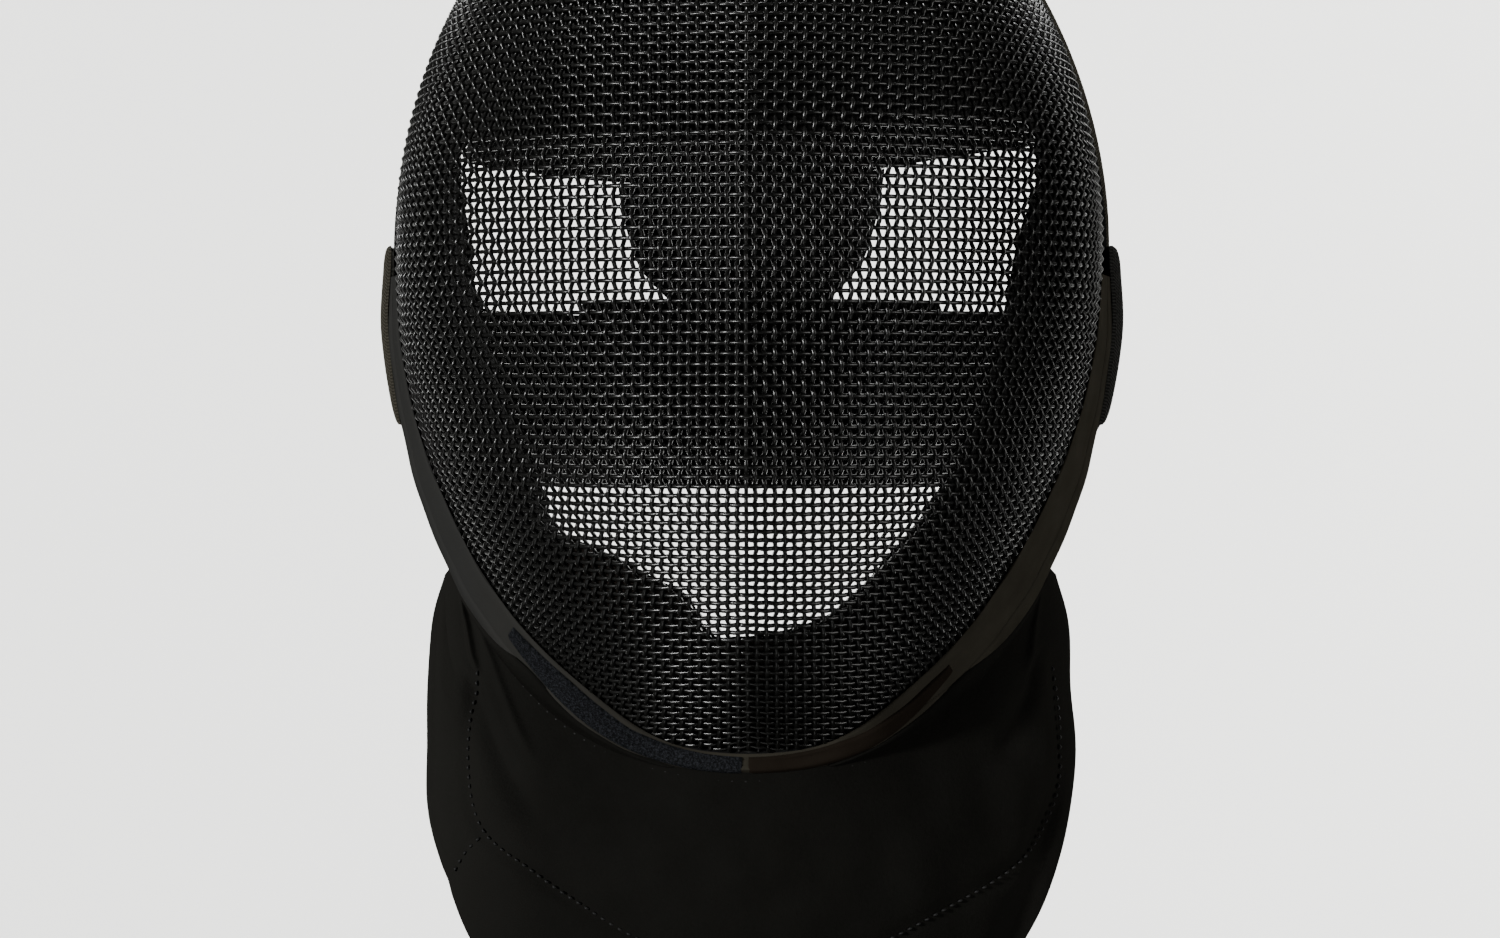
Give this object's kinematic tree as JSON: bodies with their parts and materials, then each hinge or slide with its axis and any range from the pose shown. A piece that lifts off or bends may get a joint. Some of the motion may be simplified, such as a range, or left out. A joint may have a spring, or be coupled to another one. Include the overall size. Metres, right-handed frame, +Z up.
{
  "type": "fencing mask",
  "caption": "Fencing mask with a domed, creased wire-mesh face, bound rim, collar band, black suede throat bib, padded lining and a wide elastic strap behind the head.",
  "frame": {"origin": "head seat: the underside of the crown lining, where it rests on the crown of a head, on the mask's plane of symmetry", "axes": "+Z is up, the face of the mask looks along -Y, and +X is the wearer's left"},
  "size_m": [0.2238, 0.2186, 0.3954],
  "materials": {
    "mesh_shell": "woven steel wire mesh, satin black coating",
    "rim_trim": "smooth black bound edge",
    "collar_band": "smooth black coated band with a soft pile strip along the jaw",
    "bib": "black suede with stitched seams and soft folds",
    "ear_tab_left": "dark grey woven elastic, sewn down",
    "ear_tab_right": "dark grey woven elastic, sewn down",
    "back_strap": "wide black woven elastic",
    "strap_keeper": "black woven overlap of the strap",
    "rear_pad": "black padded fabric panel",
    "back_tongue": "black padded fabric tongue",
    "forehead_pad": "dark grey padded knit lining",
    "cheek_pad_left": "black padded knit lining",
    "cheek_pad_right": "black padded knit lining",
    "chin_pad": "brownish black padded lining"
  },
  "bodies": {
    "root": {"mesh_shell": "mesh_shell", "rim_trim": "rim_trim", "collar_band": "collar_band", "bib": "bib", "ear_tab_left": "ear_tab_left", "ear_tab_right": "ear_tab_right", "back_strap": "back_strap", "strap_keeper": "strap_keeper", "rear_pad": "rear_pad", "back_tongue": "back_tongue", "forehead_pad": "forehead_pad", "cheek_pad_left": "cheek_pad_left", "cheek_pad_right": "cheek_pad_right", "chin_pad": "chin_pad"}
  },
  "joints": []
}
